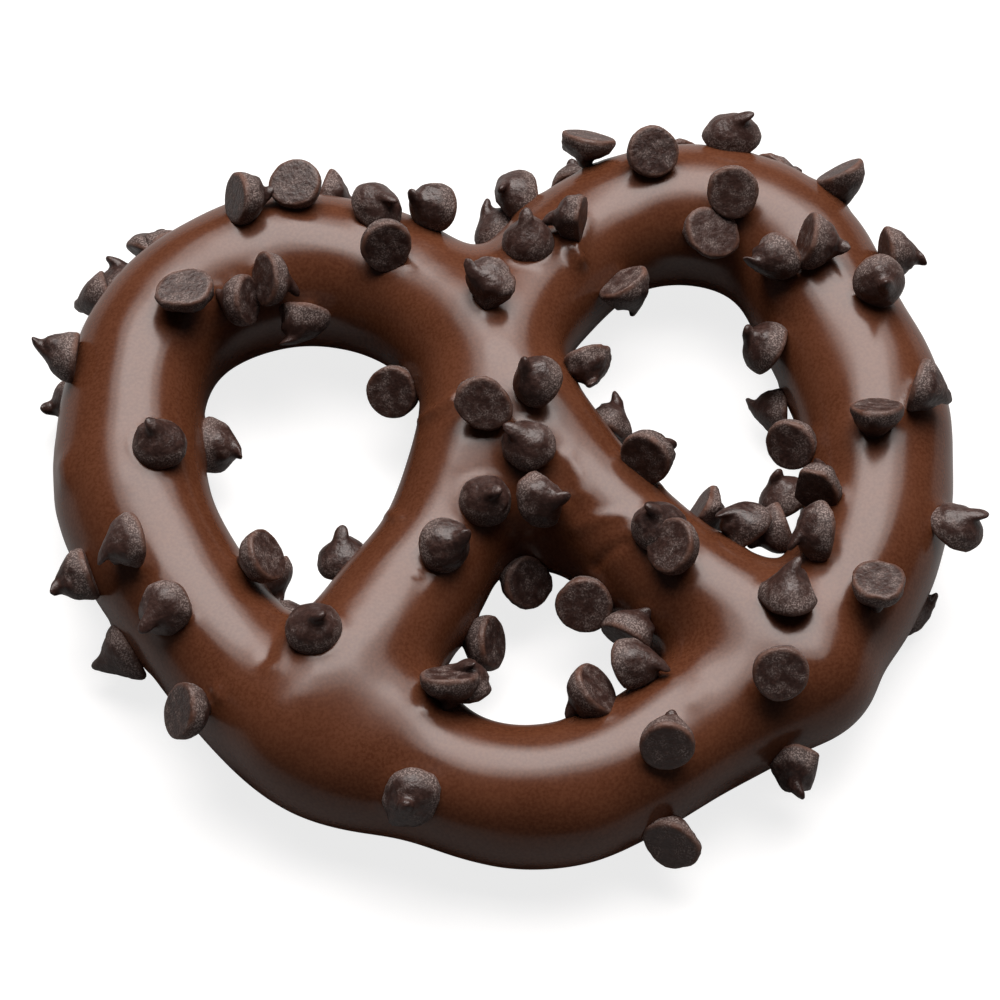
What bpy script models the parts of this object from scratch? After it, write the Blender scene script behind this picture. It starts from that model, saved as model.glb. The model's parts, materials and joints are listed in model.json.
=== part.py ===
"""Chocolate covered pretzel, rolled from one rope of dough and set with small chocolate chips.

It lies flat on its underside: +Z is up, +X runs across the two upper loops, and +Y runs along the
pretzel's middle line, from the single loop at its foot to the dip between the two upper loops.
The origin is on the surface that it lies on, at the middle of its outline. The chips set in the
coating are fused to it, so the whole pretzel is one solid.
"""
import math
import random

import bmesh
import bpy
from mathutils import Matrix, Vector
from mathutils.bvhtree import BVHTree

MM = 0.001

# The coated rope's route, from the left tail, through the twist, round both loops to the right tail.
# Each place is its (x, y, height of its centre, radius), in millimetres.
ROPE = (
    (-27.5, -27.2, 9.2, 7.4),
    (-22.5, -23.0, 9.8, 7.8),
    (-15.0, -15.0, 9.8, 7.6),
    (-8.0, -6.0, 9.2, 7.3),
    (-3.5, 4.5, 8.4, 7.0),
    (1.5, 15.5, 8.0, 7.1),
    (9.0, 25.0, 7.4, 7.9),
    (16.0, 31.0, 7.2, 8.2),
    (23.5, 33.5, 7.2, 8.2),
    (31.0, 32.0, 7.2, 8.6),
    (37.5, 26.2, 7.2, 8.6),
    (41.5, 15.5, 7.2, 8.6),
    (43.0, 4.5, 7.2, 8.6),
    (42.0, -5.0, 7.2, 8.4),
    (38.0, -14.5, 7.2, 8.3),
    (31.0, -23.5, 7.2, 7.9),
    (22.0, -30.0, 7.2, 7.8),
    (14.0, -33.5, 7.2, 7.8),
    (6.5, -36.7, 7.2, 7.6),
    (-1.0, -38.2, 7.2, 7.7),
    (-8.0, -36.7, 7.2, 7.6),
    (-15.0, -33.2, 7.2, 7.5),
    (-22.5, -29.3, 7.2, 7.8),
    (-29.5, -22.0, 7.2, 8.0),
    (-34.5, -13.5, 7.2, 8.1),
    (-39.0, -4.0, 7.2, 8.2),
    (-41.0, 5.5, 7.2, 8.6),
    (-40.0, 13.5, 7.2, 8.5),
    (-38.0, 21.5, 7.2, 8.4),
    (-33.5, 29.0, 7.2, 8.4),
    (-27.0, 32.5, 7.2, 8.7),
    (-19.5, 33.5, 7.2, 8.9),
    (-13.0, 32.0, 7.2, 8.9),
    (-5.8, 26.7, 8.2, 8.3),
    (-0.8, 17.8, 11.0, 7.7),
    (2.8, 8.8, 12.3, 7.5),
    (7.6, -1.4, 11.6, 7.7),
    (14.2, -12.7, 10.4, 7.8),
    (22.0, -21.7, 9.8, 7.9),
    (28.8, -29.4, 9.0, 8.0),
)

# Where melted coating has filled the corner below the twist, in the same terms.
POOLS = ((3.8, -5.4, 5.5, 5.6),)

# How the melted coating rounds the rope off, and how finely the solid is faceted.
GRAIN = 0.9
FLOW_PASSES = 30
FLOW_LOSS = 0.4
COAT_TRIANGLES = 4400

# A chip is a flat-based drop of chocolate. Rings are (share of its radius, share of its height).
CHIP_RADIUS = 3.0
CHIP_HEIGHT = 4.9
CHIP_SIDES = 7
CHIP_RINGS = ((0.93, 0.0), (1.0, 0.22), (0.6, 0.68))
CHIP_MIDDLE = 0.42
CHIP_SINK = 0.6
CHIP_LIFT = 0.3

# The chips' places are read from one viewpoint: how high it looks down from, how far it is turned
# from the middle line, how far it stands from VIEW_TARGET, and the picture points to a millimetre.
VIEW_ELEVATION = math.radians(60)
VIEW_TURN = math.radians(10)
VIEW_DISTANCE = 420.0
VIEW_TARGET = Vector((0.0, -2.0, 7.0))
POINTS_PER_MM = 8.94
PICTURE_MIDDLE = 505.0

# Each chip seen from there: (column, row) of its middle, the clock angle that its tip points to in
# the picture, counted from the right, and how far the tip leans away from the viewer, in degrees.
CHIPS_IN_FRONT = (
    # Left loop
    (60, 355, 170, 90), (251, 199, 0, 118), (298, 185, -60, 165), (380, 200, 45, 50),
    (384, 238, 115, 150), (430, 205, 190, 90), (187, 299, -80, 137), (234, 301, 180, 110),
    (278, 279, 0, 112), (303, 325, -95, 95), (395, 391, 40, 155), (160, 438, 80, 38),
    (228, 446, 0, 80), (120, 543, 195, 80), (68, 578, 200, 90), (159, 612, 215, 30),
    (111, 663, 215, 85), (195, 711, -30, 125), (257, 553, 240, 140),
    # Twist and left arm
    (313, 622, 90, 40), (484, 281, 130, 30), (452, 546, 5, 60), (486, 496, 55, 20),
    (547, 501, -10, 45), (525, 440, 125, 30), (483, 400, 100, 165), (531, 377, 145, 50),
    (591, 365, -70, 100), (519, 581, 170, 145),
    # Right loop
    (510, 190, 200, 60), (527, 235, 105, 45), (566, 217, 170, 110), (583, 148, -110, 110),
    (650, 153, 180, 170), (735, 127, 80, 70), (732, 190, 90, 165), (707, 235, 200, 160),
    (770, 262, 210, 60), (822, 244, -10, 105), (850, 177, -60, 100), (900, 247, 0, 100),
    (883, 285, -60, 25), (925, 388, -15, 80), (877, 420, -85, 105), (757, 345, -120, 90),
    (625, 290, 230, 120), (772, 412, 180, 100), (795, 440, 45, 150), (820, 482, 10, 80),
    (780, 490, 120, 80), (742, 515, 120, 70), (765, 530, 200, 90), (808, 533, -90, 70),
    (880, 595, 90, 150), (960, 525, 30, 80),
    # Right arm
    (650, 455, 15, 120), (660, 520, 90, 45), (678, 548, -20, 160), (585, 601, 90, 170),
    # Foot
    (787, 588, 95, 70), (780, 669, 90, 165), (667, 737, 80, 140), (408, 803, 235, 25),
    (675, 840, 60, 150), (800, 775, -100, 70), (486, 645, 185, 125), (461, 672, 100, 70),
    (455, 692, -90, 50), (632, 625, 60, 120), (640, 660, 15, 60), (587, 698, -60, 130),
)
CHIPS_BEHIND = (
    (62, 402, 200, 90), (95, 299, 200, 90), (119, 270, 60, 90), (157, 245, 60, 100),
    (338, 197, -15, 90), (270, 580, -60, 90), (340, 553, 100, 70), (614, 415, 60, 100),
    (492, 226, 130, 90), (709, 504, -30, 100), (914, 608, 10, 90),
)

# More chips on the walls that are hidden from there, as places just outside the coat.
CHIPS_HIDDEN = (
    (-34, 40, 5), (-21, 43, 4.5), (-9, 39, 5), (16, 41, 5), (28, 43, 4.5), (39, 37, 5),
    (-26, -12, 5),
)


def clear_scene():
    for thing in list(bpy.data.objects):
        bpy.data.objects.remove(thing, do_unlink=True)
    for collection in list(bpy.data.collections):
        bpy.data.collections.remove(collection)


def new_collection(name):
    collection = bpy.data.collections.new(name)
    bpy.context.scene.collection.children.link(collection)
    return collection


def plain_mesh(obj, name):
    """The mesh that the object's modifiers give, as data of its own."""
    bpy.context.view_layer.update()
    graph = bpy.context.evaluated_depsgraph_get()
    mesh = bpy.data.meshes.new_from_object(obj.evaluated_get(graph))
    mesh.name = name
    return mesh


def rope_curve(collection):
    """The rope as a smooth curve, as thick at each place as the route says."""
    curve = bpy.data.curves.new("rope", "CURVE")
    curve.dimensions = "3D"
    curve.resolution_u = 6
    curve.bevel_depth = MM
    curve.bevel_resolution = 4
    curve.use_fill_caps = True
    spline = curve.splines.new("BEZIER")
    spline.bezier_points.add(len(ROPE) - 1)
    for point, (x, y, z, radius) in zip(spline.bezier_points, ROPE):
        point.co = Vector((x, y, z)) * MM
        point.radius = radius + FLOW_LOSS
        point.handle_left_type = "AUTO"
        point.handle_right_type = "AUTO"
    rope = bpy.data.objects.new("rope", curve)
    collection.objects.link(rope)
    return rope


def coated_rope(collection):
    """The rope, its round ends and the pools made one skin, rounded as by a thick coat, flat below."""
    rope = rope_curve(collection)
    shape = bmesh.new()
    shape.from_mesh(plain_mesh(rope, "rope_tube"))
    bmesh.ops.remove_doubles(shape, verts=shape.verts, dist=0.01 * MM)
    for x, y, z, radius in (ROPE[0], ROPE[-1], *POOLS):
        bmesh.ops.create_uvsphere(
            shape,
            u_segments=16,
            v_segments=10,
            radius=(radius + FLOW_LOSS) * MM,
            matrix=Matrix.Translation(Vector((x, y, z)) * MM),
        )
    mesh = bpy.data.meshes.new("coat")
    shape.to_mesh(mesh)
    shape.free()
    bpy.data.objects.remove(rope)

    coat = bpy.data.objects.new("coat", mesh)
    collection.objects.link(coat)
    skin = coat.modifiers.new("one_skin", "REMESH")
    skin.mode = "VOXEL"
    skin.voxel_size = GRAIN * MM
    flow = coat.modifiers.new("flow", "SMOOTH")
    flow.factor = 0.5
    flow.iterations = FLOW_PASSES
    coat.data = plain_mesh(coat, "coat_flowed")
    coat.modifiers.clear()

    shape = bmesh.new()
    shape.from_mesh(coat.data)
    everything = shape.verts[:] + shape.edges[:] + shape.faces[:]
    cut = bmesh.ops.bisect_plane(
        shape, geom=everything, plane_co=(0, 0, 0), plane_no=(0, 0, 1), clear_inner=True
    )
    rim = [edge for edge in cut["geom_cut"] if isinstance(edge, bmesh.types.BMEdge)]
    bmesh.ops.triangle_fill(shape, edges=rim, use_beauty=True)
    bmesh.ops.recalc_face_normals(shape, faces=shape.faces)
    bmesh.ops.triangulate(shape, faces=shape.faces)
    shape.to_mesh(coat.data)
    facets = len(shape.faces)
    shape.free()

    fewer = coat.modifiers.new("facets", "DECIMATE")
    fewer.ratio = COAT_TRIANGLES / facets
    coat.data = plain_mesh(coat, "coat_facets")
    coat.modifiers.clear()
    return coat


def chip_mesh():
    """One chip about its own middle, with its tip along +Z."""
    shape = bmesh.new()
    rings = []
    for ring_radius, ring_height in CHIP_RINGS:
        ring = []
        for side in range(CHIP_SIDES):
            angle = math.tau * side / CHIP_SIDES
            across = Vector((math.cos(angle), math.sin(angle), 0)) * ring_radius * CHIP_RADIUS
            rise = Vector((0, 0, (ring_height - CHIP_MIDDLE) * CHIP_HEIGHT))
            ring.append(shape.verts.new((across + rise) * MM))
        rings.append(ring)
    tip = shape.verts.new((0, 0, (1 - CHIP_MIDDLE) * CHIP_HEIGHT * MM))
    shape.faces.new(reversed(rings[0]))
    for side in range(CHIP_SIDES):
        after = (side + 1) % CHIP_SIDES
        for lower, upper in zip(rings, rings[1:]):
            shape.faces.new((lower[side], lower[after], upper[after], upper[side]))
        shape.faces.new((rings[-1][side], rings[-1][after], tip))
    bmesh.ops.recalc_face_normals(shape, faces=shape.faces)
    mesh = bpy.data.meshes.new("chip")
    shape.to_mesh(mesh)
    shape.free()
    return mesh


class Viewpoint:
    """Where the chips' places are read from."""

    def __init__(self):
        turn = Matrix.Rotation(-VIEW_TURN, 3, "Z")
        self.right = turn @ Vector((1, 0, 0))
        self.ahead = turn @ Vector((0, math.cos(VIEW_ELEVATION), -math.sin(VIEW_ELEVATION)))
        self.up = self.right.cross(self.ahead)
        self.eye = VIEW_TARGET - self.ahead * VIEW_DISTANCE

    def sight(self, column, row):
        """The unit direction in which a place of the picture is seen."""
        along = self.ahead * POINTS_PER_MM * VIEW_DISTANCE
        across = self.right * (column - PICTURE_MIDDLE)
        return (along + across - self.up * (row - PICTURE_MIDDLE)).normalized()

    def tip_direction(self, clock, lean):
        clock, lean = math.radians(clock), math.radians(lean)
        side_on = self.right * math.cos(clock) + self.up * math.sin(clock)
        return side_on * math.sin(lean) - self.ahead * math.cos(lean)


def contact(tree, place, samples):
    """How far a chip at a place is outside the coat, less than 0 where it sinks in, and the way in."""
    least, way = 1.0, None
    for sample in samples:
        nearest, normal, _, distance = tree.find_nearest(place + sample)
        if (place + sample - nearest).dot(normal) < 0:
            distance = -distance
        if distance < least:
            least, way = distance, -normal
    return least, way


def settle(tree, samples, eye, sight, from_behind):
    """Moves a chip along a line of sight until it sinks into the coat as far as a chip does."""
    near, far = (VIEW_DISTANCE - 60) * MM, (VIEW_DISTANCE + 60) * MM
    reach, step = (far, -1) if from_behind else (near, 1)
    lowest = min(sample.z for sample in samples)
    best_gap = 1.0
    while near <= reach <= far:
        place = eye + sight * reach
        gap, way = contact(tree, place, samples)
        gap += CHIP_SINK * MM
        if place.z + lowest > CHIP_LIFT * MM:
            if gap <= 0:
                return place
            if gap < best_gap:
                best_gap, best = gap, place + way * gap
        reach += step * max(gap, 0.05 * MM)
    return best


def set_chips(coat, collection):
    """Sets every chip in the coat, each turned about its own axis by a seeded draw."""
    draw = random.Random(7)
    view = Viewpoint()
    eye = view.eye * MM
    tree = BVHTree.FromObject(coat, bpy.context.evaluated_depsgraph_get())
    mesh = chip_mesh()
    samples = [vertex.co.copy() for vertex in mesh.vertices] + [face.center.copy() for face in mesh.polygons]
    places = []

    def turned_to(tip):
        spin = Matrix.Rotation(draw.uniform(0, math.tau), 3, "Z")
        return tip.to_track_quat("Z", "Y").to_matrix() @ spin

    def add_chip(place, turned):
        chip = bpy.data.objects.new("chip", mesh)
        chip.matrix_world = Matrix.Translation(place) @ turned.to_4x4()
        collection.objects.link(chip)
        places.append(place)

    seen = [(chip, False) for chip in CHIPS_IN_FRONT] + [(chip, True) for chip in CHIPS_BEHIND]
    for (column, row, clock, lean), from_behind in seen:
        turned = turned_to(view.tip_direction(clock, lean))
        corners = [turned @ sample for sample in samples]
        add_chip(settle(tree, corners, eye, view.sight(column, row), from_behind), turned)

    for corner in CHIPS_HIDDEN:
        nearest, out, _, _ = tree.find_nearest(Vector(corner) * MM)
        askew = Vector([draw.uniform(-0.5, 0.5) for _ in range(3)])
        place = nearest + out * (CHIP_MIDDLE * CHIP_HEIGHT - CHIP_SINK) * MM
        add_chip(place, turned_to((out + askew).normalized()))


def chocolate():
    material = bpy.data.materials.new("milk_chocolate")
    material.use_nodes = True
    surface = material.node_tree.nodes["Principled BSDF"]
    surface.inputs["Base Color"].default_value = (0.085, 0.03, 0.014, 1)
    surface.inputs["Roughness"].default_value = 0.28
    surface.inputs["Metallic"].default_value = 0.0
    return material


def build():
    clear_scene()
    pretzel_parts = new_collection("chocolate_covered_pretzel")
    chips = new_collection("chips")
    coat = coated_rope(pretzel_parts)
    set_chips(coat, chips)
    bpy.context.view_layer.update()

    fuse = coat.modifiers.new("fuse_chips", "BOOLEAN")
    fuse.operation = "UNION"
    fuse.operand_type = "COLLECTION"
    fuse.collection = chips
    fuse.solver = "MANIFOLD"
    coat.data = plain_mesh(coat, "chocolate_pretzel")
    coat.modifiers.clear()
    coat.name = "chocolate_pretzel"
    coat.data.materials.clear()
    coat.data.materials.append(chocolate())
    for chip in list(chips.objects):
        bpy.data.objects.remove(chip)
    bpy.data.collections.remove(chips)


build()
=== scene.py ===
"""Chocolate covered pretzel, dipped in milk chocolate and set with small dark chocolate chips."""
import json
import math
import random

import bmesh
import bpy
import numpy as np
from mathutils import Matrix, Vector, noise
from mathutils.bvhtree import BVHTree

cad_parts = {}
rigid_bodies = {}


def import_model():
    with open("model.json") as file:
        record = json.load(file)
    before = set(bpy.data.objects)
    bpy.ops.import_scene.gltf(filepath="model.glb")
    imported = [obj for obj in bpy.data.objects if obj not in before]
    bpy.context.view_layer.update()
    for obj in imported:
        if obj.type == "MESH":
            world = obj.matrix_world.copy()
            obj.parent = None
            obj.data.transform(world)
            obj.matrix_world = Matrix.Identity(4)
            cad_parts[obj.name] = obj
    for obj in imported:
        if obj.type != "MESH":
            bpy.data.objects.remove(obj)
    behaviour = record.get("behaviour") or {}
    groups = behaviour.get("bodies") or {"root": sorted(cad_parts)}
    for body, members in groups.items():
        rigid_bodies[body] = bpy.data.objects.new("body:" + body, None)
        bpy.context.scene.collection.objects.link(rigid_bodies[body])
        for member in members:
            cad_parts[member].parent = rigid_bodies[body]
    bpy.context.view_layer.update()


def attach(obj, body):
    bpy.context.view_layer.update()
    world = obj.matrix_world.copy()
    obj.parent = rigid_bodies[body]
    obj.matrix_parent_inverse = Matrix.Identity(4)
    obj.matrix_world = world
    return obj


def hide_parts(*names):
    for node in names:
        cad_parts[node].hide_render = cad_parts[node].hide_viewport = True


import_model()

# The camera stands where the photographer did, looking down on the pretzel as it lies, a little to
# the left of its middle line. Places of the picture are columns and rows of its 1000 x 1000 points.
MM = 0.001
CAMERA_HEIGHT_ANGLE = math.radians(60)
CAMERA_TURN = math.radians(10)
CAMERA_DISTANCE = 420 * MM
SENSOR_WIDTH = 36
PRETZEL_MIDDLE = Vector((0, -2, 7)) * MM
PICTURE_WIDTH = 1000
PICTURE_MIDDLE = 505.0
POINTS_PER_MM = 8.94

swing = Matrix.Rotation(-CAMERA_TURN, 3, "Z")
to_right = swing @ Vector((1, 0, 0))
ahead = swing @ Vector((0, math.cos(CAMERA_HEIGHT_ANGLE), -math.sin(CAMERA_HEIGHT_ANGLE)))
upward = to_right.cross(ahead)
eye = PRETZEL_MIDDLE - ahead * CAMERA_DISTANCE

camera_data = bpy.data.cameras.new("camera")
camera_data.sensor_width = SENSOR_WIDTH
camera_data.lens = SENSOR_WIDTH * POINTS_PER_MM * CAMERA_DISTANCE / MM / PICTURE_WIDTH
camera_data.shift_x = 0.5 - PICTURE_MIDDLE / PICTURE_WIDTH
camera_data.shift_y = PICTURE_MIDDLE / PICTURE_WIDTH - 0.5
camera_data.clip_start = 0.01
camera_data.clip_end = 20
camera = bpy.data.objects.new("camera", camera_data)
facing = Matrix((to_right, upward, -ahead)).transposed().to_4x4()
camera.matrix_world = Matrix.Translation(eye) @ facing
bpy.context.scene.collection.objects.link(camera)
bpy.context.scene.camera = camera
bpy.context.scene.view_settings.view_transform = "Standard"


def sight(column, row):
    """The direction in which the camera sees a place of the picture."""
    along = ahead * POINTS_PER_MM * CAMERA_DISTANCE / MM
    across = to_right * (column - PICTURE_MIDDLE)
    down = upward * (row - PICTURE_MIDDLE)
    return (along + across - down).normalized()


# The coat: a rope of baked dough twisted once, then dipped in milk chocolate, which rounds every
# corner, fills the crotches of the twist and sets flat where it lay on the sheet. Each place of the
# rope, and of the pools in its crotches, is x, y, height of its centre and radius, in millimetres.
ROPE = (
    (-27.5, -27.2, 9.2, 7.4), (-22.5, -23.0, 9.8, 7.8), (-14.4, -14.9, 8.6, 7.9),
    (-7.2, -6.1, 8.7, 7.5), (-2.6, 4.3, 11.0, 6.8), (2.4, 15.0, 11.3, 7.2),
    (9.0, 25.0, 8.6, 7.9), (16.0, 31.0, 7.4, 8.2), (23.5, 33.5, 7.2, 8.2),
    (31.0, 32.0, 7.2, 8.6), (38.1, 26.8, 7.2, 8.6), (41.2, 15.3, 7.2, 8.5),
    (43.2, 4.5, 7.2, 8.7), (42.2, -5.0, 7.2, 8.5), (38.4, -14.9, 7.2, 8.5),
    (31.6, -24.1, 7.2, 8.2), (22.2, -30.2, 7.2, 8.0), (14.0, -33.7, 7.2, 7.9),
    (6.5, -36.9, 7.2, 7.8), (-1.0, -38.4, 7.2, 7.9), (-8.0, -36.9, 7.2, 7.7),
    (-15.2, -33.0, 7.2, 7.6), (-23.6, -29.4, 7.2, 8.0), (-29.9, -22.4, 7.2, 8.1),
    (-34.2, -13.5, 7.2, 8.4), (-38.7, -4.0, 7.2, 8.5), (-41.0, 5.5, 7.2, 8.6),
    (-40.0, 13.5, 7.2, 8.5), (-38.0, 21.5, 7.2, 8.5), (-33.4, 28.8, 7.2, 8.6),
    (-27.0, 32.2, 7.2, 8.9), (-19.5, 33.2, 7.2, 9.1), (-13.0, 31.8, 7.2, 9.0),
    (-5.8, 26.7, 8.2, 8.3), (-1.0, 18.0, 10.2, 7.8), (2.6, 8.8, 11.6, 7.5),
    (7.2, -1.5, 9.8, 7.6), (14.0, -12.3, 8.3, 7.7), (22.0, -21.4, 8.3, 7.9),
    (28.8, -29.4, 8.2, 8.0),
)
POOLS = (
    (
        (3.2, 21.0, 10.5, 6.6), (0.9, 15.5, 11.6, 7.0), (0.8, 3.2, 10.8, 6.5),
        (1.8, -1.2, 9.0, 6.3), (4.6, -2.4, 9.6, 6.8), (3.6, -5.0, 6.0, 5.7),
    ),
    ((-21.0, -26.6, 9.4, 7.1), (-16.0, -28.6, 8.8, 7.0)),
)
COAT_BROWN = (0.068, 0.0205, 0.0088, 1)
COAT_PALER_BROWN = (0.083, 0.0262, 0.0117, 1)
COAT_FLECK = (0.17, 0.068, 0.034, 1)
FLOW_LOSS = 0.15
BALL_SPACING = 0.5
GRAIN, QUICK_GRAIN = 0.52, 0.8
FLOW_STEPS, QUICK_FLOW_STEPS = 95, 40


def group_input(tree, name, kind):
    """Gives a tree a named input, and says under which identifier a modifier sets it."""
    return tree.interface.new_socket(name=name, in_out="INPUT", socket_type=kind).identifier


def make_plain(obj, name):
    """What the object's modifiers make of it, as a plain mesh with no modifier left."""
    bpy.context.view_layer.update()
    made = obj.evaluated_get(bpy.context.evaluated_depsgraph_get())
    mesh = bpy.data.meshes.new_from_object(made)
    mesh.name = name
    piece = bpy.data.objects.new(name, mesh)
    bpy.context.scene.collection.objects.link(piece)
    bpy.data.objects.remove(obj)
    return piece


def dipping_tree():
    """Melts a row of balls along a curve into one skin, and lets it flow smooth."""
    tree = bpy.data.node_groups.new("dipped_rope", "GeometryNodeTree")
    tree.interface.new_socket(name="Rope", in_out="INPUT", socket_type="NodeSocketGeometry")
    inputs = {
        "Spacing": group_input(tree, "Spacing", "NodeSocketFloat"),
        "Grain": group_input(tree, "Grain", "NodeSocketFloat"),
        "Flow": group_input(tree, "Flow", "NodeSocketInt"),
    }
    tree.interface.new_socket(name="Coat", in_out="OUTPUT", socket_type="NodeSocketGeometry")
    nodes, links = tree.nodes, tree.links
    start, end = nodes.new("NodeGroupInput"), nodes.new("NodeGroupOutput")
    row = nodes.new("GeometryNodeCurveToPoints")
    row.mode = "LENGTH"
    links.new(start.outputs["Rope"], row.inputs["Curve"])
    links.new(start.outputs["Spacing"], row.inputs["Length"])
    melt = nodes.new("GeometryNodePointsToVolume")
    melt.resolution_mode = "VOXEL_SIZE"
    links.new(row.outputs["Points"], melt.inputs["Points"])
    links.new(start.outputs["Grain"], melt.inputs["Voxel Size"])
    links.new(nodes.new("GeometryNodeInputRadius").outputs[0], melt.inputs["Radius"])
    skin = nodes.new("GeometryNodeVolumeToMesh")
    skin.resolution_mode = "VOXEL_SIZE"
    links.new(melt.outputs["Volume"], skin.inputs["Volume"])
    links.new(start.outputs["Grain"], skin.inputs["Voxel Size"])
    flow = nodes.new("GeometryNodeBlurAttribute")
    flow.data_type = "FLOAT_VECTOR"
    place = nodes.new("GeometryNodeInputPosition")
    value_in = next(s for s in flow.inputs if s.name == "Value" and s.enabled)
    value_out = next(s for s in flow.outputs if s.enabled)
    links.new(place.outputs[0], value_in)
    links.new(start.outputs["Flow"], flow.inputs["Iterations"])
    settle_down = nodes.new("GeometryNodeSetPosition")
    links.new(skin.outputs["Mesh"], settle_down.inputs["Geometry"])
    links.new(value_out, settle_down.inputs["Position"])
    whole = nodes.new("GeometryNodeRealizeInstances")
    links.new(settle_down.outputs["Geometry"], whole.inputs[0])
    finish = nodes.new("GeometryNodeSetMaterial")
    links.new(whole.outputs[0], finish.inputs["Geometry"])
    finish.inputs["Material"].default_value = coat_chocolate
    links.new(finish.outputs[0], end.inputs[0])
    return tree, inputs


def mixed(nodes, links, kind, a, b, amount):
    """A Mix of two values or colours, either of which may be a socket."""
    mix = nodes.new("ShaderNodeMix")
    mix.data_type = kind
    ins = [s for s in mix.inputs if s.enabled]
    for socket, value in zip(ins, (amount, a, b)):
        if isinstance(value, bpy.types.NodeSocket):
            links.new(value, socket)
        else:
            socket.default_value = value
    return next(s for s in mix.outputs if s.enabled)


def speckle(nodes, links, size, detail=4.0):
    """Noise through the object, in grains of about that size in metres."""
    place = nodes.new("ShaderNodeTexCoord")
    grain = nodes.new("ShaderNodeTexNoise")
    grain.inputs["Scale"].default_value = 1 / size
    grain.inputs["Detail"].default_value = detail
    links.new(place.outputs["Object"], grain.inputs["Vector"])
    return grain.outputs["Fac"]


def between(nodes, links, value, low, high):
    """The value's place between low and high, held to 0 and 1, smoothed."""
    span = nodes.new("ShaderNodeMapRange")
    span.interpolation_type = "SMOOTHSTEP"
    span.inputs["From Min"].default_value = low
    span.inputs["From Max"].default_value = high
    links.new(value, span.inputs["Value"])
    return span.outputs["Result"]


def coat_finish():
    """Milk chocolate, satin, with a very fine grain and cloudy patches of a shade's difference."""
    material = bpy.data.materials.new("coat_chocolate")
    material.use_nodes = True
    nodes, links = material.node_tree.nodes, material.node_tree.links
    surface = nodes["Principled BSDF"]
    cloud = between(nodes, links, speckle(nodes, links, 9 * MM, 3), 0.35, 0.65)
    fine = between(nodes, links, speckle(nodes, links, 0.35 * MM, 2), 0.3, 0.7)
    milky = mixed(nodes, links, "RGBA", COAT_BROWN, COAT_PALER_BROWN, cloud)
    flecks = mixed(nodes, links, "FLOAT", 0.0, 0.26, fine)
    shade = mixed(nodes, links, "RGBA", milky, COAT_FLECK, flecks)
    links.new(shade, surface.inputs["Base Color"])
    links.new(mixed(nodes, links, "FLOAT", 0.2, 0.245, cloud), surface.inputs["Roughness"])
    surface.inputs["Specular IOR Level"].default_value = 0.41
    surface.inputs["IOR"].default_value = 1.46
    grainy = nodes.new("ShaderNodeBump")
    grainy.inputs["Strength"].default_value = 0.12
    grainy.inputs["Distance"].default_value = 0.02 * MM
    links.new(speckle(nodes, links, 0.28 * MM, 3), grainy.inputs["Height"])
    links.new(grainy.outputs["Normal"], surface.inputs["Normal"])
    return material


def rope_curve():
    """The rope's route as a curve, and the pools as strands beside it, each with its radius."""
    curve = bpy.data.curves.new("rope", "CURVE")
    curve.dimensions = "3D"
    curve.resolution_u = 12
    spline = curve.splines.new("BEZIER")
    spline.bezier_points.add(len(ROPE) - 1)
    for point, (x, y, z, radius) in zip(spline.bezier_points, ROPE):
        point.co = Vector((x, y, z)) * MM
        point.radius = (radius + FLOW_LOSS) * MM
        point.handle_left_type = point.handle_right_type = "AUTO"
    for balls in POOLS:
        pool = curve.splines.new("POLY")
        pool.points.add(len(balls) - 1)
        for point, (x, y, z, radius) in zip(pool.points, balls):
            point.co = (x * MM, y * MM, z * MM, 1)
            point.radius = (radius + FLOW_LOSS) * MM
    obj = bpy.data.objects.new("rope", curve)
    bpy.context.scene.collection.objects.link(obj)
    return obj


def read_coat(what):
    """The places or the normals of the coat's points, one row each."""
    rows = np.empty(len(coat.data.vertices) * 3)
    coat.data.vertices.foreach_get(what, rows)
    return rows.reshape(-1, 3)


def reshape_coat():
    """Moves the coat's points to their places."""
    coat.data.vertices.foreach_set("co", (places * MM).ravel())
    coat.data.update()


coat_chocolate = coat_finish()
rope = rope_curve()
dip_tree, dip_inputs = dipping_tree()
dip = rope.modifiers.new("dip", "NODES")
dip.node_group = dip_tree
dip[dip_inputs["Spacing"]] = BALL_SPACING * MM
dip[dip_inputs["Grain"]] = GRAIN * MM
dip[dip_inputs["Flow"]] = FLOW_STEPS
coat = make_plain(rope, "coat")

# The dough is hand rolled, so the coat over it is a little uneven, in long and in shorter waves.
# Where the coat met the sheet it spread outwards as a low skirt, and it is flat underneath.
UNEVEN = 0.55
LONG_WAVE, SHORT_WAVE, SHORT_SHARE = 0.06, 0.14, 0.3
SKIRT_HEIGHT, SKIRT_SPREAD = 1.6, 0.35

places = read_coat("co") / MM
normals = read_coat("normal")
uneven = np.array([
    noise.noise(Vector(p) * LONG_WAVE) + SHORT_SHARE * noise.noise(Vector(p) * SHORT_WAVE)
    for p in places
])
places += normals * (UNEVEN * uneven)[:, None]
skirt = np.clip(1 - places[:, 2] / SKIRT_HEIGHT, 0, 1) ** 2
places[:, :2] += normals[:, :2] * (SKIRT_SPREAD * skirt)[:, None]
places[:, 2] = np.maximum(places[:, 2], 0)
reshape_coat()
for polygon in coat.data.polygons:
    polygon.use_smooth = True
coat_tree = BVHTree.FromObject(coat, bpy.context.evaluated_depsgraph_get())


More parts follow.
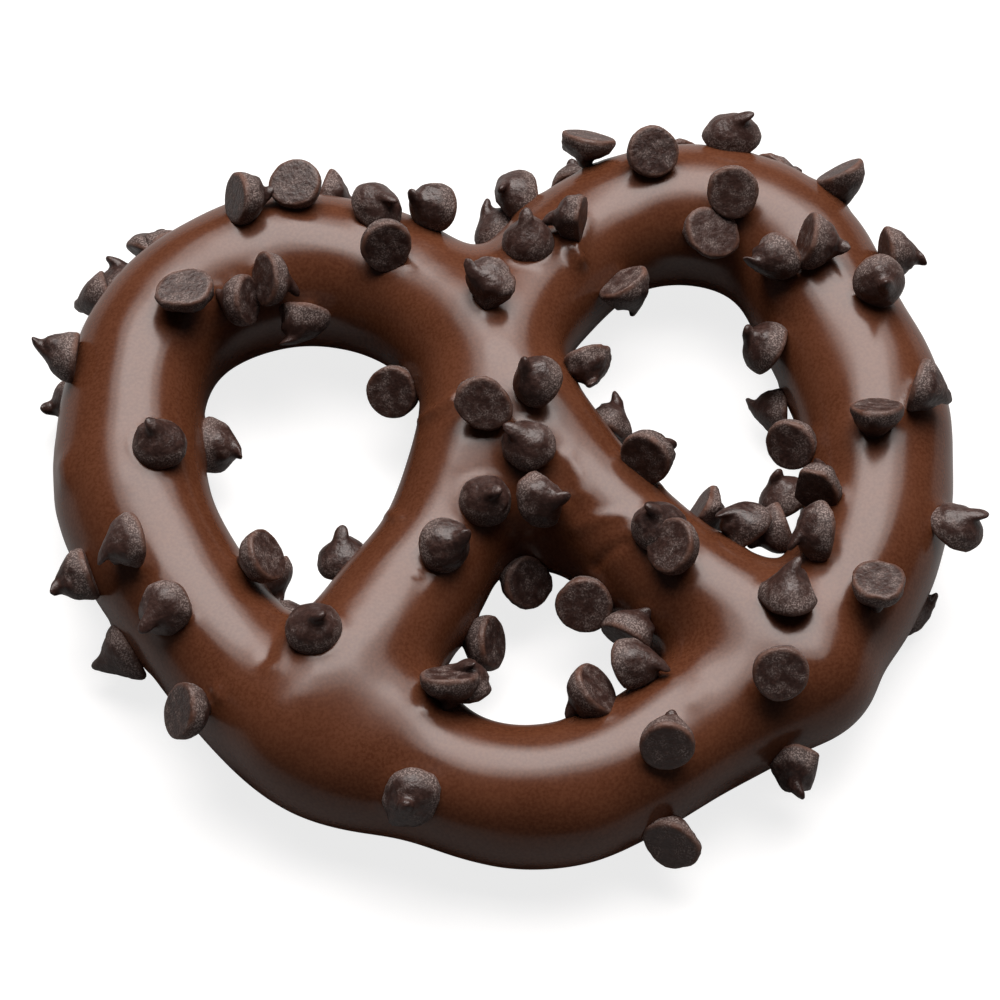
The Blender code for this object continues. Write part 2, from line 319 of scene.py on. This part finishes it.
# Folds, ridges and drips that the chocolate set with as it ran off the rope. Each is a line or a
# spot of the coat, along places of the picture, with how far it stands out (less than 0 for a fold)
# and how wide it is, in millimetres.
TRAIL_STEPS = 16
WRINKLES = (
    (((420, 420), (436, 410), (452, 399)), 0.36, 0.6),
    (((424, 431), (441, 421), (455, 411)), -0.16, 0.8),
    (((281, 620), (271, 640), (266, 660)), -0.2, 0.8),
    (((290, 628), (281, 648), (279, 668)), 0.14, 1.0),
    (((268, 667),), 0.22, 0.8),
    (((596, 566), (608, 553), (624, 543)), -0.3, 0.6),
    (((575, 529), (598, 519), (622, 515)), 0.2, 0.8),
    (((566, 458), (577, 474), (581, 493)), 0.26, 0.9),
    (((655, 474), (660, 486)), 0.22, 0.8),
    (((388, 514), (398, 518)), 0.3, 0.7),
    (((64, 466), (66, 476)), 0.4, 1.6),
    (((417, 575),), 0.3, 0.5),
    (((574, 250), (578, 260)), 1.0, 1.0),
    (((309, 306),), 0.45, 0.7),
    (((217, 690), (219, 697)), 0.35, 0.7),
    (((430, 703), (427, 710)), 0.35, 0.7),
    (((693, 700), (700, 690)), 0.16, 1.2),
    (((430, 588), (446, 570)), 0.18, 0.9),
)


def on_coat(column, row):
    """The place of the coat that the picture shows there, or the nearest to it, in millimetres."""
    direction = sight(column, row)
    hit = coat_tree.ray_cast(eye, direction)[0]
    return np.array(hit or coat_tree.find_nearest(eye + direction * CAMERA_DISTANCE)[0]) / MM


for way, height, width in WRINKLES:
    stops = [on_coat(*place) for place in way]
    pieces = zip(stops, stops[1:])
    trail = [a + (b - a) * t for a, b in pieces for t in np.linspace(0, 1, TRAIL_STEPS)] or stops
    away = np.min([((places - stop) ** 2).sum(axis=1) for stop in trail], axis=0)
    places += normals * (height * np.exp(-away / width**2))[:, None]
reshape_coat()


# The chips: drops of dark chocolate with a flat base, pressed into the coat while it was wet. They
# lie every way up, so some show their base, some their side and some their tip.
CHIP_RADIUS = 3.0
CHIP_HEIGHT = 4.9
CHIP_MIDDLE = 0.42
CHIP_SINK = 0.6
CHIP_LIFT = 0.3
# Each chip's column and row in the picture, the way its tip points there and how far the tip turns
# away from the camera, both in degrees, and the number of its shape.
CHIPS_IN_FRONT = (
    (58, 355, 172, 85, 6), (251, 199, 0, 118, 0), (298, 188, -60, 162, 0), (380, 200, 60, 38, 1),
    (384, 240, 110, 148, 0), (426, 206, 175, 46, 0), (187, 299, -80, 137, 3),
    (234, 301, 180, 112, 0), (278, 279, 0, 122, 1), (302, 327, -100, 76, 2), (397, 389, 40, 155, 0),
    (160, 438, 80, 36, 0), (228, 446, 0, 80, 2), (120, 543, 190, 66, 2), (73, 579, 200, 88, 2),
    (159, 612, 215, 30, 1), (101, 668, 210, 82, 6), (194, 712, -5, 126, 0), (255, 561, 205, 118, 0),
    (313, 622, 90, 40, 0), (484, 281, 165, 38, 5), (450, 545, 5, 34, 0), (486, 496, 80, 24, 0),
    (547, 501, -10, 40, 4), (525, 440, 125, 32, 1), (483, 400, 100, 165, 3), (531, 377, 150, 48, 0),
    (591, 371, -70, 76, 5), (519, 581, 170, 145, 3), (508, 187, 150, 52, 1), (527, 235, 100, 40, 0),
    (566, 217, 170, 100, 4), (585, 150, -100, 106, 3), (650, 153, 180, 168, 0),
    (733, 127, 85, 38, 1), (732, 190, 90, 165, 0), (707, 235, 200, 158, 1), (770, 262, 215, 60, 2),
    (822, 244, -15, 105, 2), (851, 178, -62, 102, 2), (901, 254, 5, 100, 2), (883, 285, -60, 28, 0),
    (931, 389, -18, 82, 2), (877, 422, -88, 107, 2), (758, 343, 150, 72, 0),
    (629, 294, -58, 116, 7), (768, 413, 180, 92, 2), (795, 440, 45, 148, 0), (820, 480, 60, 128, 4),
    (780, 492, 120, 75, 0), (742, 515, 130, 65, 2), (765, 530, 200, 90, 0), (808, 531, 178, 68, 1),
    (878, 593, -90, 128, 3), (962, 520, 55, 50, 1), (652, 451, 45, 138, 0), (660, 520, 90, 42, 0),
    (680, 548, -15, 140, 0), (585, 601, 75, 165, 0), (787, 586, 93, 62, 6), (780, 669, 90, 166, 0),
    (667, 737, 85, 148, 0), (408, 803, 235, 25, 3), (676, 835, 60, 140, 3), (795, 777, -110, 50, 4),
    (490, 651, 185, 116, 0), (461, 674, 100, 60, 5), (450, 692, -90, 104, 3),
    (632, 625, 60, 110, 0), (641, 661, 20, 58, 2), (585, 696, 215, 118, 0),
)
CHIPS_BEHIND = (
    (64, 405, 200, 90, 1), (95, 301, 200, 90, 2), (125, 277, 100, 90, 0), (155, 244, 60, 100, 3),
    (338, 199, -20, 90, 3), (272, 584, -60, 90, 0), (342, 553, 100, 60, 0), (614, 417, 60, 100, 4),
    (492, 226, 130, 90, 0), (712, 517, -30, 100, 5), (917, 606, 10, 90, 7),
)
# Chips on the walls that the picture doesn't show, by their place in millimetres.
CHIPS_HIDDEN = (
    (-34, 40, 5), (-21, 43, 4.5), (-9, 39, 5), (16, 41, 5), (28, 43, 4.5), (39, 37, 5),
    (-26, -12, 5),
)
# Each ring of a chip: how far up it is, then how wide on a round chip and on one drawn to a point.
CHIP_PROFILE = (
    (0.0, 0.0, 0.0), (0.0, 0.35, 0.35), (0.0, 0.62, 0.62), (0.0, 0.82, 0.82),
    (0.004, 0.92, 0.92), (0.03, 0.975, 0.975), (0.085, 1.0, 1.0), (0.16, 1.0, 0.98),
    (0.25, 0.985, 0.92), (0.34, 0.95, 0.84), (0.43, 0.88, 0.73), (0.51, 0.785, 0.62),
    (0.58, 0.665, 0.52), (0.64, 0.535, 0.44), (0.69, 0.42, 0.375), (0.74, 0.345, 0.32),
    (0.79, 0.305, 0.275), (0.845, 0.28, 0.235), (0.9, 0.245, 0.19), (0.95, 0.175, 0.14),
    (0.985, 0.085, 0.07), (1.0, 0.0, 0.0),
)
# How each shape of chip differs: height, oval, how far it is drawn to a point, how far its body
# leans, how far its tip bends over, lumps, and how much of one side is missing.
CHIP_SHAPES = (
    (0.98, 1.0, 0.0, 0.1, 1.6, 0.03, 0.0),
    (0.92, 1.05, 0.2, -0.12, -2.2, 0.045, 0.0),
    (0.99, 0.97, 0.45, 0.2, 2.1, 0.055, 0.0),
    (0.84, 1.07, 0.1, 0.1, -1.2, 0.06, 0.0),
    (0.96, 0.94, 0.3, 0.15, 1.2, 0.07, 0.34),
    (0.92, 1.08, 0.4, -0.25, -2.6, 0.1, 0.14),
    (1.04, 0.93, 0.9, 0.3, 1.0, 0.06, 0.0),
    (1.0, 1.06, 0.8, -0.2, 2.2, 0.07, 0.0),
)
BROKEN_CHIP = 4
CHIP_SIDES = 36
# Chocolate that ran down one side: how far out it stands, how wide it is, how far up and how tall.
RUN_OUT, RUN_WIDTH, RUN_RISE, RUN_TALL = 0.3, 0.45, 0.62, 0.13
TIP_START, TIP_CURL = 0.66, 1.3
LUMP_PITCH, SMALL_LUMP_PITCH, SMALL_LUMP_SHARE = 0.42, 1.1, 0.45
LUMP_FORCE, LUMP_UPWARD, BREAK_ROUGH = 2.2, 0.6, 0.12
# Where the base's rim is painted paler brown, partly as painted highlight and partly as wear, and
# where dust lies on the side, as shares of the chip.
RIM_HEIGHT, RIM_PLACE, RIM_WIDTH = 0.1, 0.96, 0.07
DUST_PLACE, DUST_WIDTH, DUST_ON_BASE = 0.2, 0.24, 0.35


def chip_shape(number, height, oval, drawn, lean, bend, lumps, missing):
    """One chip about its own middle, tip along +Z, with its rim and its side marked."""
    shape = bmesh.new()
    on_rim = shape.verts.layers.float.new("chip_rim")
    on_side = shape.verts.layers.float.new("chip_side")
    far = Vector((13.7 * number, 5.1, 2.3))
    rings = []
    for rise, blunt, pointed in CHIP_PROFILE:
        share = blunt + (pointed - blunt) * drawn
        ring = []
        for side in range(CHIP_SIDES if share else 1):
            angle = math.tau * side / CHIP_SIDES
            way = Vector((math.cos(angle) * oval, math.sin(angle) / oval, 0))
            beside = ((angle + math.pi) % math.tau - math.pi) / RUN_WIDTH
            run = RUN_OUT * math.exp(-(beside**2) - ((rise - RUN_RISE) / RUN_TALL) ** 2)
            place = way * share * (1 + run) * CHIP_RADIUS
            place += Vector((0, 0, rise * CHIP_HEIGHT * height))
            tip = max(rise - TIP_START, 0) ** TIP_CURL
            place.x += (lean * rise**2 + bend * tip) * CHIP_RADIUS
            bump = noise.noise(place * LUMP_PITCH + far)
            bump += SMALL_LUMP_SHARE * noise.noise(place * SMALL_LUMP_PITCH + far)
            swell = Vector((place.x, place.y, LUMP_UPWARD * place.z))
            place += swell * lumps * LUMP_FORCE * bump
            if missing:
                place.x = min(place.x, (1 - missing) * CHIP_RADIUS + BREAK_ROUGH * bump)
            place.z -= CHIP_MIDDLE * CHIP_HEIGHT
            vertex = shape.verts.new(place * MM)
            # How much of the paler rim colour, painted highlight and wear, the point takes.
            rim_sheen_and_wear = math.exp(-((share - RIM_PLACE) / RIM_WIDTH) ** 2)
            dust = math.exp(-((rise - DUST_PLACE) / DUST_WIDTH) ** 2)
            vertex[on_rim] = rim_sheen_and_wear if rise < RIM_HEIGHT else 0.0
            vertex[on_side] = dust if rise else DUST_ON_BASE
            ring.append(vertex)
        rings.append(ring)
    for lower, upper in zip(rings, rings[1:]):
        for side in range(CHIP_SIDES):
            after = (side + 1) % CHIP_SIDES
            corners = [lower[k % len(lower)] for k in (side, after)]
            corners += [upper[k % len(upper)] for k in (after, side)]
            shape.faces.new(list(dict.fromkeys(corners)))
    bmesh.ops.recalc_face_normals(shape, faces=shape.faces)
    for face in shape.faces:
        face.smooth = True
    mesh = bpy.data.meshes.new(f"chip_shape_{number}")
    shape.to_mesh(mesh)
    shape.free()
    return mesh


def tip_direction(clock, lean):
    """The way a tip points that lies that way in the picture and leans that far from the camera."""
    clock, lean = math.radians(clock), math.radians(lean)
    in_picture = to_right * math.cos(clock) + upward * math.sin(clock)
    return in_picture * math.sin(lean) - ahead * math.cos(lean)


# A chip is tried against the coat at points of its skin, each by how wide and how far up it is.
FEELERS = ((0.0, 0.0), (0.5, 0.0), (0.93, 0.0), (1.0, 0.15), (0.85, 0.47), (0.5, 0.73), (0.0, 1.0))
FEELERS_ROUND = 10
SETTLE_REACH = 60
SETTLE_STEP = 0.05
FAR_AWAY = 1.0


def contact(place, samples):
    """How far a chip is outside the coat, less than 0 where it sinks in, and the way in."""
    least, way = FAR_AWAY, None
    for sample in samples:
        nearest, normal, _, distance = coat_tree.find_nearest(place + sample)
        if (place + sample - nearest).dot(normal) < 0:
            distance = -distance
        if distance < least:
            least, way = distance, -normal
    return least, way


def settle(samples, direction, from_behind):
    """Moves a chip along a line of sight until it sinks into the coat as far as a chip does."""
    near, far = CAMERA_DISTANCE - SETTLE_REACH * MM, CAMERA_DISTANCE + SETTLE_REACH * MM
    reach, step = (far, -1) if from_behind else (near, 1)
    lowest = min(sample.z for sample in samples)
    best_gap = FAR_AWAY
    while near <= reach <= far:
        place = eye + direction * reach
        gap, way = contact(place, samples)
        gap += CHIP_SINK * MM
        if place.z + lowest > CHIP_LIFT * MM:
            if gap <= 0:
                return place
            if gap < best_gap:
                best_gap, best = gap, place + way * gap
        reach += step * max(gap, SETTLE_STEP * MM)
    return best


CHIP_BROWN, CHIP_PALER_BROWN = (0.0205, 0.0083, 0.0064, 1), (0.036, 0.016, 0.0124, 1)
CHIP_MOTTLE = (0.064, 0.032, 0.0258, 1)
CHIP_BLOOM = (0.28, 0.222, 0.204, 1)
# The paler brown of the base's rim: partly a painted highlight, partly wear.
CHIP_RIM_SHEEN_AND_WEAR = (0.105, 0.047, 0.031, 1)


def chip_finish():
    """Dark chocolate, dull and dusty with bloom, paler brown round the rim of the base, partly a
    painted highlight and partly wear.
    """
    material = bpy.data.materials.new("chip_chocolate")
    material.use_nodes = True
    nodes, links = material.node_tree.nodes, material.node_tree.links
    surface = nodes["Principled BSDF"]

    def marked(name):
        mark = nodes.new("ShaderNodeAttribute")
        mark.attribute_name = name
        return mark.outputs["Fac"]

    def colour(a, b, share):
        return mixed(nodes, links, "RGBA", a, b, share)

    def amount(a, b, share):
        return mixed(nodes, links, "FLOAT", a, b, share)

    def patches(size, detail, low, high):
        return between(nodes, links, speckle(nodes, links, size * MM, detail), low, high)

    def worked(operation, a, b):
        node = nodes.new("ShaderNodeMath")
        node.operation = operation
        links.new(a, node.inputs[0])
        links.new(b, node.inputs[1])
        return node.outputs[0]

    shade = colour(CHIP_BROWN, CHIP_PALER_BROWN, marked("chip_tone"))
    shade = colour(shade, CHIP_MOTTLE, amount(0.0, 0.5, patches(0.55, 4, 0.46, 0.62)))
    cloudy = speckle(nodes, links, 1.3 * MM, 4)
    settled = worked("ADD", cloudy, amount(0.0, 0.4, marked("chip_side")))
    dusty = amount(0.03, 0.82, between(nodes, links, settled, 0.52, 0.92))
    grains = patches(0.18, 3, 0.47, 0.62)
    shade = colour(shade, CHIP_BLOOM, worked("MULTIPLY", amount(0.13, 0.95, grains), dusty))
    # The paler brown round the base's rim is partly a painted highlight, where the rim's edge
    # catches the light, and partly wear.
    rim_sheen_and_wear_patches = amount(0.45, 1.0, patches(2.2, 3, 0.42, 0.6))
    shade = colour(shade, CHIP_RIM_SHEEN_AND_WEAR, worked("MULTIPLY", marked("chip_rim"), rim_sheen_and_wear_patches))
    links.new(shade, surface.inputs["Base Color"])
    links.new(amount(0.36, 0.8, dusty), surface.inputs["Roughness"])
    surface.inputs["Specular IOR Level"].default_value = 0.42
    pitted = nodes.new("ShaderNodeBump")
    pitted.inputs["Strength"].default_value = 0.7
    pitted.inputs["Distance"].default_value = 0.16 * MM
    links.new(speckle(nodes, links, 0.5 * MM, 5), pitted.inputs["Height"])
    links.new(pitted.outputs["Normal"], surface.inputs["Normal"])
    return material


def scattering_tree():
    """Sets one chip of the kind asked for, turned and sized as asked, at each point."""
    tree = bpy.data.node_groups.new("chips_on_coat", "GeometryNodeTree")
    tree.interface.new_socket(name="Places", in_out="INPUT", socket_type="NodeSocketGeometry")
    shapes = group_input(tree, "Shapes", "NodeSocketCollection")
    size = group_input(tree, "Size", "NodeSocketFloat")
    tree.interface.new_socket(name="Chips", in_out="OUTPUT", socket_type="NodeSocketGeometry")
    nodes, links = tree.nodes, tree.links
    start, end = nodes.new("NodeGroupInput"), nodes.new("NodeGroupOutput")
    kinds = nodes.new("GeometryNodeCollectionInfo")
    links.new(start.outputs["Shapes"], kinds.inputs["Collection"])
    kinds.inputs["Separate Children"].default_value = True
    kinds.inputs["Reset Children"].default_value = True

    def stored(name, kind):
        read = nodes.new("GeometryNodeInputNamedAttribute")
        read.data_type = kind
        read.inputs["Name"].default_value = name
        return next(s for s in read.outputs if s.enabled and s.name == "Attribute")

    setting = nodes.new("GeometryNodeInstanceOnPoints")
    links.new(start.outputs["Places"], setting.inputs["Points"])
    links.new(kinds.outputs[0], setting.inputs["Instance"])
    setting.inputs["Pick Instance"].default_value = True
    links.new(stored("kind", "INT"), setting.inputs["Instance Index"])
    links.new(stored("turned", "FLOAT_VECTOR"), setting.inputs["Rotation"])
    grown = nodes.new("ShaderNodeVectorMath")
    grown.operation = "SCALE"
    links.new(stored("grown", "FLOAT_VECTOR"), grown.inputs[0])
    links.new(start.outputs["Size"], grown.inputs["Scale"])
    links.new(grown.outputs[0], setting.inputs["Scale"])
    whole = nodes.new("GeometryNodeRealizeInstances")
    links.new(setting.outputs[0], whole.inputs[0])
    finish = nodes.new("GeometryNodeSetMaterial")
    links.new(whole.outputs[0], finish.inputs["Geometry"])
    finish.inputs["Material"].default_value = chip_chocolate
    links.new(finish.outputs[0], end.inputs[0])
    return tree, shapes, size


def chip_places():
    """Where each chip's middle is, how it is turned, with a seeded spin, and which shape it has."""
    draw = random.Random(7)
    feelers = []
    for share, rise in FEELERS:
        for step in range(FEELERS_ROUND if share else 1):
            angle = math.tau * step / FEELERS_ROUND
            x, y = (turn * share * CHIP_RADIUS for turn in (math.cos(angle), math.sin(angle)))
            feelers.append(Vector((x, y, (rise - CHIP_MIDDLE) * CHIP_HEIGHT)) * MM)
    found = []

    def turned_to(tip, kind=0):
        spin = draw.uniform(0, math.tau)
        spin = Matrix.Rotation(0 if kind == BROKEN_CHIP else spin, 3, "Z")
        return tip.to_track_quat("Z", "Y").to_matrix() @ spin

    seen = [(chip, False) for chip in CHIPS_IN_FRONT] + [(chip, True) for chip in CHIPS_BEHIND]
    for (column, row, clock, lean, kind), from_behind in seen:
        turned = turned_to(tip_direction(clock, lean), kind)
        corners = [turned @ feeler for feeler in feelers]
        found.append((settle(corners, sight(column, row), from_behind), turned, kind))
    for corner in CHIPS_HIDDEN:
        nearest, out, _, _ = coat_tree.find_nearest(Vector(corner) * MM)
        askew = Vector([draw.uniform(-0.5, 0.5) for _ in range(3)])
        place = nearest + out * (CHIP_MIDDLE * CHIP_HEIGHT - CHIP_SINK) * MM
        found.append((place, turned_to((out + askew).normalized()), draw.choice((0, 1, 2, 3))))
    return found


chip_chocolate = chip_finish()
chip_kinds = bpy.data.collections.new("chip_kinds")
for number, measures in enumerate(CHIP_SHAPES):
    kind = bpy.data.objects.new(f"chip_kind_{number}", chip_shape(number, *measures))
    chip_kinds.objects.link(kind)

chips_found = chip_places()
draw = random.Random(11)
point_mesh = bpy.data.meshes.new("chip_points")
point_mesh.from_pydata([place for place, _, _ in chips_found], [], [])
turns = [part for _, turned, _ in chips_found for part in turned.to_euler("XYZ")]
columns = {
    "turned": ("FLOAT_VECTOR", turns),
    "grown": ("FLOAT_VECTOR", [draw.uniform(0.95, 1.05) for _ in range(3 * len(chips_found))]),
    "kind": ("INT", [kind for _, _, kind in chips_found]),
    "chip_tone": ("FLOAT", [draw.random() for _ in chips_found]),
}
for name, (kind, values) in columns.items():
    column = point_mesh.attributes.new(name, kind, "POINT")
    column.data.foreach_set("vector" if kind == "FLOAT_VECTOR" else "value", values)
points = bpy.data.objects.new("chip_points", point_mesh)
bpy.context.scene.collection.objects.link(points)
scatter_tree, shapes_input, size_input = scattering_tree()
scatter = points.modifiers.new("scatter", "NODES")
scatter.node_group = scatter_tree
scatter[shapes_input] = chip_kinds
scatter[size_input] = 1.0
chips = make_plain(points, "chips")
for kind in list(chip_kinds.objects):
    bpy.data.objects.remove(kind)
bpy.data.collections.remove(chip_kinds)

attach(chips, "root")
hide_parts("chocolate_pretzel")

# The lips: where the wet coat crept up round each chip it set as a small raised edge. They are part
# of the coat's own chocolate, and come last because they follow the chips.
LIP_HEIGHT, LIP_WIDTH, LIP_REACH = 0.17, 0.6, 1.8
LIP_LOWEST = 0.8

chip_tree = BVHTree.FromObject(chips, bpy.context.evaluated_depsgraph_get())
normals = read_coat("normal")
lip = np.zeros(len(places))
for index, place in enumerate(places):
    if place[2] > LIP_LOWEST:
        near = chip_tree.find_nearest(Vector(place) * MM, LIP_REACH * MM)
        if near[0] is not None:
            lip[index] = math.exp(-(near[3] / MM / LIP_WIDTH) ** 2)
places += normals * (LIP_HEIGHT * lip)[:, None]
reshape_coat()

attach(coat, "root")
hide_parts("chocolate_pretzel")


# The studio: a plain white sheet under and behind the pretzel, and one large softbox overhead and
# a little behind, brighter round its lamp, which the coat shows as a broad soft band. The sheet is
# white to the camera and grey to the chocolate, which keeps the coat's shaded sides dark.
SHEET_SIZE, SHEET_DROP = 6, 0.2
SHEET_GREY, SHEET_GLOW = (0.3, 0.3, 0.3, 1), 0.8
LIGHT_COLOUR = (1, 0.94, 0.912)
LIGHTS = (
    ("softbox", (0.12, 0.39, 0.69), (0.94, 0.8), 9.6),
    ("softbox_lamp", (0.11, 0.38, 0.67), (0.56, 0.46), 4.2),
)
ROOM_GLOW = 0.04


def studio_floor():
    mesh = bpy.data.meshes.new("floor")
    shape = bmesh.new()
    bmesh.ops.create_grid(shape, x_segments=1, y_segments=1, size=SHEET_SIZE)
    shape.to_mesh(mesh)
    shape.free()
    obj = bpy.data.objects.new("floor", mesh)
    material = bpy.data.materials.new("white_sheet")
    material.use_nodes = True
    nodes, links = material.node_tree.nodes, material.node_tree.links
    sheet = nodes["Principled BSDF"]
    sheet.inputs["Base Color"].default_value = SHEET_GREY
    sheet.inputs["Roughness"].default_value = 0.9
    sheet.inputs["Emission Color"].default_value = (1, 1, 1, 1)
    seen = nodes.new("ShaderNodeLightPath").outputs["Is Camera Ray"]
    glow = mixed(nodes, links, "FLOAT", 0.0, SHEET_GLOW, seen)
    links.new(glow, sheet.inputs["Emission Strength"])
    mesh.materials.append(material)
    bpy.context.scene.collection.objects.link(obj)
    obj.location.z = -SHEET_DROP * MM


def soft_light(name, place, size, power):
    """A rectangular soft light at a place in metres, facing the pretzel."""
    data = bpy.data.lights.new(name, "AREA")
    data.shape = "RECTANGLE"
    data.size, data.size_y = size
    data.energy = power
    data.color = LIGHT_COLOUR
    obj = bpy.data.objects.new(name, data)
    obj.location = place
    obj.rotation_euler = (-Vector(place)).to_track_quat("-Z", "Y").to_euler()
    bpy.context.scene.collection.objects.link(obj)


studio_floor()
for light in LIGHTS:
    soft_light(*light)
world = bpy.data.worlds.new("studio")
world.use_nodes = True
background = world.node_tree.nodes["Background"]
background.inputs["Color"].default_value = (1, 1, 1, 1)
background.inputs["Strength"].default_value = ROOM_GLOW
bpy.context.scene.world = world
